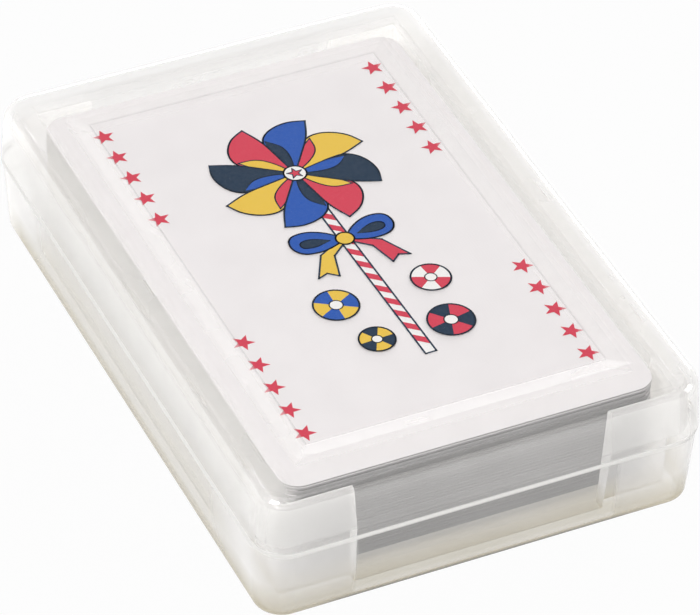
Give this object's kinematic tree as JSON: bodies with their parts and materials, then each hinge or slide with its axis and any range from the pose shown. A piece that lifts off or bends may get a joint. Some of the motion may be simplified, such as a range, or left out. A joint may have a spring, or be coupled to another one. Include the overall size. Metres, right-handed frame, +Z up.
{
  "type": "playing card deck",
  "caption": "Deck of playing cards with a joker on top, held between corner posts in a clear two-part plastic case with a lift-off lid.",
  "frame": {"origin": "middle of the case's underside", "axes": "+X along the case's width, +Y along its length, +Z up through the lid"},
  "size_m": [0.0684, 0.0994, 0.0215],
  "materials": {
    "clear_plastic": "clear, slightly milky gloss",
    "card_stock": "coated card, satin"
  },
  "bodies": {
    "base": {"case_base": "clear_plastic"},
    "lid": {"case_lid": "clear_plastic"},
    "card_ace_of_spades": {"ace_of_spades": "card_stock"},
    "card_two_of_spades": {"two_of_spades": "card_stock"},
    "card_three_of_spades": {"three_of_spades": "card_stock"},
    "card_four_of_spades": {"four_of_spades": "card_stock"},
    "card_five_of_spades": {"five_of_spades": "card_stock"},
    "card_six_of_spades": {"six_of_spades": "card_stock"},
    "card_seven_of_spades": {"seven_of_spades": "card_stock"},
    "card_eight_of_spades": {"eight_of_spades": "card_stock"},
    "card_nine_of_spades": {"nine_of_spades": "card_stock"},
    "card_ten_of_spades": {"ten_of_spades": "card_stock"},
    "card_jack_of_spades": {"jack_of_spades": "card_stock"},
    "card_queen_of_spades": {"queen_of_spades": "card_stock"},
    "card_king_of_spades": {"king_of_spades": "card_stock"},
    "card_ace_of_hearts": {"ace_of_hearts": "card_stock"},
    "card_two_of_hearts": {"two_of_hearts": "card_stock"},
    "card_three_of_hearts": {"three_of_hearts": "card_stock"},
    "card_four_of_hearts": {"four_of_hearts": "card_stock"},
    "card_five_of_hearts": {"five_of_hearts": "card_stock"},
    "card_six_of_hearts": {"six_of_hearts": "card_stock"},
    "card_seven_of_hearts": {"seven_of_hearts": "card_stock"},
    "card_eight_of_hearts": {"eight_of_hearts": "card_stock"},
    "card_nine_of_hearts": {"nine_of_hearts": "card_stock"},
    "card_ten_of_hearts": {"ten_of_hearts": "card_stock"},
    "card_jack_of_hearts": {"jack_of_hearts": "card_stock"},
    "card_queen_of_hearts": {"queen_of_hearts": "card_stock"},
    "card_king_of_hearts": {"king_of_hearts": "card_stock"},
    "card_ace_of_clubs": {"ace_of_clubs": "card_stock"},
    "card_two_of_clubs": {"two_of_clubs": "card_stock"},
    "card_three_of_clubs": {"three_of_clubs": "card_stock"},
    "card_four_of_clubs": {"four_of_clubs": "card_stock"},
    "card_five_of_clubs": {"five_of_clubs": "card_stock"},
    "card_six_of_clubs": {"six_of_clubs": "card_stock"},
    "card_seven_of_clubs": {"seven_of_clubs": "card_stock"},
    "card_eight_of_clubs": {"eight_of_clubs": "card_stock"},
    "card_nine_of_clubs": {"nine_of_clubs": "card_stock"},
    "card_ten_of_clubs": {"ten_of_clubs": "card_stock"},
    "card_jack_of_clubs": {"jack_of_clubs": "card_stock"},
    "card_queen_of_clubs": {"queen_of_clubs": "card_stock"},
    "card_king_of_clubs": {"king_of_clubs": "card_stock"},
    "card_ace_of_diamonds": {"ace_of_diamonds": "card_stock"},
    "card_two_of_diamonds": {"two_of_diamonds": "card_stock"},
    "card_three_of_diamonds": {"three_of_diamonds": "card_stock"},
    "card_four_of_diamonds": {"four_of_diamonds": "card_stock"},
    "card_five_of_diamonds": {"five_of_diamonds": "card_stock"},
    "card_six_of_diamonds": {"six_of_diamonds": "card_stock"},
    "card_seven_of_diamonds": {"seven_of_diamonds": "card_stock"},
    "card_eight_of_diamonds": {"eight_of_diamonds": "card_stock"},
    "card_nine_of_diamonds": {"nine_of_diamonds": "card_stock"},
    "card_ten_of_diamonds": {"ten_of_diamonds": "card_stock"},
    "card_jack_of_diamonds": {"jack_of_diamonds": "card_stock"},
    "card_queen_of_diamonds": {"queen_of_diamonds": "card_stock"},
    "card_king_of_diamonds": {"king_of_diamonds": "card_stock"},
    "card_black_joker": {"black_joker": "card_stock"},
    "card_colour_joker": {"colour_joker": "card_stock"}
  },
  "joints": [
    {"name": "lid_lift", "type": "slide", "parent": "base", "child": "lid", "axis": [0, 0, 1], "range_m": [0, 0.064]},
    {"name": "ace_of_spades_lift", "type": "slide", "parent": "base", "child": "card_ace_of_spades", "axis": [0, 0, 1], "range_m": [0, 0.02]},
    {"name": "two_of_spades_lift", "type": "slide", "parent": "base", "child": "card_two_of_spades", "axis": [0, 0, 1], "range_m": [0, 0.0206]},
    {"name": "three_of_spades_lift", "type": "slide", "parent": "base", "child": "card_three_of_spades", "axis": [0, 0, 1], "range_m": [0, 0.0212]},
    {"name": "four_of_spades_lift", "type": "slide", "parent": "base", "child": "card_four_of_spades", "axis": [0, 0, 1], "range_m": [0, 0.0218]},
    {"name": "five_of_spades_lift", "type": "slide", "parent": "base", "child": "card_five_of_spades", "axis": [0, 0, 1], "range_m": [0, 0.0224]},
    {"name": "six_of_spades_lift", "type": "slide", "parent": "base", "child": "card_six_of_spades", "axis": [0, 0, 1], "range_m": [0, 0.023]},
    {"name": "seven_of_spades_lift", "type": "slide", "parent": "base", "child": "card_seven_of_spades", "axis": [0, 0, 1], "range_m": [0, 0.0236]},
    {"name": "eight_of_spades_lift", "type": "slide", "parent": "base", "child": "card_eight_of_spades", "axis": [0, 0, 1], "range_m": [0, 0.0242]},
    {"name": "nine_of_spades_lift", "type": "slide", "parent": "base", "child": "card_nine_of_spades", "axis": [0, 0, 1], "range_m": [0, 0.0248]},
    {"name": "ten_of_spades_lift", "type": "slide", "parent": "base", "child": "card_ten_of_spades", "axis": [0, 0, 1], "range_m": [0, 0.0254]},
    {"name": "jack_of_spades_lift", "type": "slide", "parent": "base", "child": "card_jack_of_spades", "axis": [0, 0, 1], "range_m": [0, 0.026]},
    {"name": "queen_of_spades_lift", "type": "slide", "parent": "base", "child": "card_queen_of_spades", "axis": [0, 0, 1], "range_m": [0, 0.0266]},
    {"name": "king_of_spades_lift", "type": "slide", "parent": "base", "child": "card_king_of_spades", "axis": [0, 0, 1], "range_m": [0, 0.0272]},
    {"name": "ace_of_hearts_lift", "type": "slide", "parent": "base", "child": "card_ace_of_hearts", "axis": [0, 0, 1], "range_m": [0, 0.0278]},
    {"name": "two_of_hearts_lift", "type": "slide", "parent": "base", "child": "card_two_of_hearts", "axis": [0, 0, 1], "range_m": [0, 0.0284]},
    {"name": "three_of_hearts_lift", "type": "slide", "parent": "base", "child": "card_three_of_hearts", "axis": [0, 0, 1], "range_m": [0, 0.029]},
    {"name": "four_of_hearts_lift", "type": "slide", "parent": "base", "child": "card_four_of_hearts", "axis": [0, 0, 1], "range_m": [0, 0.0296]},
    {"name": "five_of_hearts_lift", "type": "slide", "parent": "base", "child": "card_five_of_hearts", "axis": [0, 0, 1], "range_m": [0, 0.0302]},
    {"name": "six_of_hearts_lift", "type": "slide", "parent": "base", "child": "card_six_of_hearts", "axis": [0, 0, 1], "range_m": [0, 0.0308]},
    {"name": "seven_of_hearts_lift", "type": "slide", "parent": "base", "child": "card_seven_of_hearts", "axis": [0, 0, 1], "range_m": [0, 0.0314]},
    {"name": "eight_of_hearts_lift", "type": "slide", "parent": "base", "child": "card_eight_of_hearts", "axis": [0, 0, 1], "range_m": [0, 0.032]},
    {"name": "nine_of_hearts_lift", "type": "slide", "parent": "base", "child": "card_nine_of_hearts", "axis": [0, 0, 1], "range_m": [0, 0.0326]},
    {"name": "ten_of_hearts_lift", "type": "slide", "parent": "base", "child": "card_ten_of_hearts", "axis": [0, 0, 1], "range_m": [0, 0.0332]},
    {"name": "jack_of_hearts_lift", "type": "slide", "parent": "base", "child": "card_jack_of_hearts", "axis": [0, 0, 1], "range_m": [0, 0.0338]},
    {"name": "queen_of_hearts_lift", "type": "slide", "parent": "base", "child": "card_queen_of_hearts", "axis": [0, 0, 1], "range_m": [0, 0.0344]},
    {"name": "king_of_hearts_lift", "type": "slide", "parent": "base", "child": "card_king_of_hearts", "axis": [0, 0, 1], "range_m": [0, 0.035]},
    {"name": "ace_of_clubs_lift", "type": "slide", "parent": "base", "child": "card_ace_of_clubs", "axis": [0, 0, 1], "range_m": [0, 0.0356]},
    {"name": "two_of_clubs_lift", "type": "slide", "parent": "base", "child": "card_two_of_clubs", "axis": [0, 0, 1], "range_m": [0, 0.0362]},
    {"name": "three_of_clubs_lift", "type": "slide", "parent": "base", "child": "card_three_of_clubs", "axis": [0, 0, 1], "range_m": [0, 0.0368]},
    {"name": "four_of_clubs_lift", "type": "slide", "parent": "base", "child": "card_four_of_clubs", "axis": [0, 0, 1], "range_m": [0, 0.0374]},
    {"name": "five_of_clubs_lift", "type": "slide", "parent": "base", "child": "card_five_of_clubs", "axis": [0, 0, 1], "range_m": [0, 0.038]},
    {"name": "six_of_clubs_lift", "type": "slide", "parent": "base", "child": "card_six_of_clubs", "axis": [0, 0, 1], "range_m": [0, 0.0386]},
    {"name": "seven_of_clubs_lift", "type": "slide", "parent": "base", "child": "card_seven_of_clubs", "axis": [0, 0, 1], "range_m": [0, 0.0392]},
    {"name": "eight_of_clubs_lift", "type": "slide", "parent": "base", "child": "card_eight_of_clubs", "axis": [0, 0, 1], "range_m": [0, 0.0398]},
    {"name": "nine_of_clubs_lift", "type": "slide", "parent": "base", "child": "card_nine_of_clubs", "axis": [0, 0, 1], "range_m": [0, 0.0404]},
    {"name": "ten_of_clubs_lift", "type": "slide", "parent": "base", "child": "card_ten_of_clubs", "axis": [0, 0, 1], "range_m": [0, 0.041]},
    {"name": "jack_of_clubs_lift", "type": "slide", "parent": "base", "child": "card_jack_of_clubs", "axis": [0, 0, 1], "range_m": [0, 0.0416]},
    {"name": "queen_of_clubs_lift", "type": "slide", "parent": "base", "child": "card_queen_of_clubs", "axis": [0, 0, 1], "range_m": [0, 0.0422]},
    {"name": "king_of_clubs_lift", "type": "slide", "parent": "base", "child": "card_king_of_clubs", "axis": [0, 0, 1], "range_m": [0, 0.0428]},
    {"name": "ace_of_diamonds_lift", "type": "slide", "parent": "base", "child": "card_ace_of_diamonds", "axis": [0, 0, 1], "range_m": [0, 0.0434]},
    {"name": "two_of_diamonds_lift", "type": "slide", "parent": "base", "child": "card_two_of_diamonds", "axis": [0, 0, 1], "range_m": [0, 0.044]},
    {"name": "three_of_diamonds_lift", "type": "slide", "parent": "base", "child": "card_three_of_diamonds", "axis": [0, 0, 1], "range_m": [0, 0.0446]},
    {"name": "four_of_diamonds_lift", "type": "slide", "parent": "base", "child": "card_four_of_diamonds", "axis": [0, 0, 1], "range_m": [0, 0.0452]},
    {"name": "five_of_diamonds_lift", "type": "slide", "parent": "base", "child": "card_five_of_diamonds", "axis": [0, 0, 1], "range_m": [0, 0.0458]},
    {"name": "six_of_diamonds_lift", "type": "slide", "parent": "base", "child": "card_six_of_diamonds", "axis": [0, 0, 1], "range_m": [0, 0.0464]},
    {"name": "seven_of_diamonds_lift", "type": "slide", "parent": "base", "child": "card_seven_of_diamonds", "axis": [0, 0, 1], "range_m": [0, 0.047]},
    {"name": "eight_of_diamonds_lift", "type": "slide", "parent": "base", "child": "card_eight_of_diamonds", "axis": [0, 0, 1], "range_m": [0, 0.0476]},
    {"name": "nine_of_diamonds_lift", "type": "slide", "parent": "base", "child": "card_nine_of_diamonds", "axis": [0, 0, 1], "range_m": [0, 0.0482]},
    {"name": "ten_of_diamonds_lift", "type": "slide", "parent": "base", "child": "card_ten_of_diamonds", "axis": [0, 0, 1], "range_m": [0, 0.0488]},
    {"name": "jack_of_diamonds_lift", "type": "slide", "parent": "base", "child": "card_jack_of_diamonds", "axis": [0, 0, 1], "range_m": [0, 0.0494]},
    {"name": "queen_of_diamonds_lift", "type": "slide", "parent": "base", "child": "card_queen_of_diamonds", "axis": [0, 0, 1], "range_m": [0, 0.05]},
    {"name": "king_of_diamonds_lift", "type": "slide", "parent": "base", "child": "card_king_of_diamonds", "axis": [0, 0, 1], "range_m": [0, 0.0506]},
    {"name": "black_joker_lift", "type": "slide", "parent": "base", "child": "card_black_joker", "axis": [0, 0, 1], "range_m": [0, 0.0512]},
    {"name": "colour_joker_lift", "type": "slide", "parent": "base", "child": "card_colour_joker", "axis": [0, 0, 1], "range_m": [0, 0.0518]}
  ],
  "couplings": [
    {"joint": "ace_of_spades_lift", "follows": "lid_lift", "ratio": 0.3125},
    {"joint": "two_of_spades_lift", "follows": "lid_lift", "ratio": 0.32188},
    {"joint": "three_of_spades_lift", "follows": "lid_lift", "ratio": 0.33125},
    {"joint": "four_of_spades_lift", "follows": "lid_lift", "ratio": 0.34063},
    {"joint": "five_of_spades_lift", "follows": "lid_lift", "ratio": 0.35},
    {"joint": "six_of_spades_lift", "follows": "lid_lift", "ratio": 0.35938},
    {"joint": "seven_of_spades_lift", "follows": "lid_lift", "ratio": 0.36875},
    {"joint": "eight_of_spades_lift", "follows": "lid_lift", "ratio": 0.37812},
    {"joint": "nine_of_spades_lift", "follows": "lid_lift", "ratio": 0.3875},
    {"joint": "ten_of_spades_lift", "follows": "lid_lift", "ratio": 0.39687},
    {"joint": "jack_of_spades_lift", "follows": "lid_lift", "ratio": 0.40625},
    {"joint": "queen_of_spades_lift", "follows": "lid_lift", "ratio": 0.41563},
    {"joint": "king_of_spades_lift", "follows": "lid_lift", "ratio": 0.425},
    {"joint": "ace_of_hearts_lift", "follows": "lid_lift", "ratio": 0.43438},
    {"joint": "two_of_hearts_lift", "follows": "lid_lift", "ratio": 0.44375},
    {"joint": "three_of_hearts_lift", "follows": "lid_lift", "ratio": 0.45312},
    {"joint": "four_of_hearts_lift", "follows": "lid_lift", "ratio": 0.4625},
    {"joint": "five_of_hearts_lift", "follows": "lid_lift", "ratio": 0.47187},
    {"joint": "six_of_hearts_lift", "follows": "lid_lift", "ratio": 0.48125},
    {"joint": "seven_of_hearts_lift", "follows": "lid_lift", "ratio": 0.49062},
    {"joint": "eight_of_hearts_lift", "follows": "lid_lift", "ratio": 0.5},
    {"joint": "nine_of_hearts_lift", "follows": "lid_lift", "ratio": 0.50938},
    {"joint": "ten_of_hearts_lift", "follows": "lid_lift", "ratio": 0.51875},
    {"joint": "jack_of_hearts_lift", "follows": "lid_lift", "ratio": 0.52812},
    {"joint": "queen_of_hearts_lift", "follows": "lid_lift", "ratio": 0.5375},
    {"joint": "king_of_hearts_lift", "follows": "lid_lift", "ratio": 0.54688},
    {"joint": "ace_of_clubs_lift", "follows": "lid_lift", "ratio": 0.55625},
    {"joint": "two_of_clubs_lift", "follows": "lid_lift", "ratio": 0.56563},
    {"joint": "three_of_clubs_lift", "follows": "lid_lift", "ratio": 0.575},
    {"joint": "four_of_clubs_lift", "follows": "lid_lift", "ratio": 0.58437},
    {"joint": "five_of_clubs_lift", "follows": "lid_lift", "ratio": 0.59375},
    {"joint": "six_of_clubs_lift", "follows": "lid_lift", "ratio": 0.60313},
    {"joint": "seven_of_clubs_lift", "follows": "lid_lift", "ratio": 0.6125},
    {"joint": "eight_of_clubs_lift", "follows": "lid_lift", "ratio": 0.62187},
    {"joint": "nine_of_clubs_lift", "follows": "lid_lift", "ratio": 0.63125},
    {"joint": "ten_of_clubs_lift", "follows": "lid_lift", "ratio": 0.64062},
    {"joint": "jack_of_clubs_lift", "follows": "lid_lift", "ratio": 0.65},
    {"joint": "queen_of_clubs_lift", "follows": "lid_lift", "ratio": 0.65938},
    {"joint": "king_of_clubs_lift", "follows": "lid_lift", "ratio": 0.66875},
    {"joint": "ace_of_diamonds_lift", "follows": "lid_lift", "ratio": 0.67812},
    {"joint": "two_of_diamonds_lift", "follows": "lid_lift", "ratio": 0.6875},
    {"joint": "three_of_diamonds_lift", "follows": "lid_lift", "ratio": 0.69688},
    {"joint": "four_of_diamonds_lift", "follows": "lid_lift", "ratio": 0.70625},
    {"joint": "five_of_diamonds_lift", "follows": "lid_lift", "ratio": 0.71562},
    {"joint": "six_of_diamonds_lift", "follows": "lid_lift", "ratio": 0.725},
    {"joint": "seven_of_diamonds_lift", "follows": "lid_lift", "ratio": 0.73438},
    {"joint": "eight_of_diamonds_lift", "follows": "lid_lift", "ratio": 0.74375},
    {"joint": "nine_of_diamonds_lift", "follows": "lid_lift", "ratio": 0.75313},
    {"joint": "ten_of_diamonds_lift", "follows": "lid_lift", "ratio": 0.7625},
    {"joint": "jack_of_diamonds_lift", "follows": "lid_lift", "ratio": 0.77187},
    {"joint": "queen_of_diamonds_lift", "follows": "lid_lift", "ratio": 0.78125},
    {"joint": "king_of_diamonds_lift", "follows": "lid_lift", "ratio": 0.79063},
    {"joint": "black_joker_lift", "follows": "lid_lift", "ratio": 0.8},
    {"joint": "colour_joker_lift", "follows": "lid_lift", "ratio": 0.80937}
  ]
}
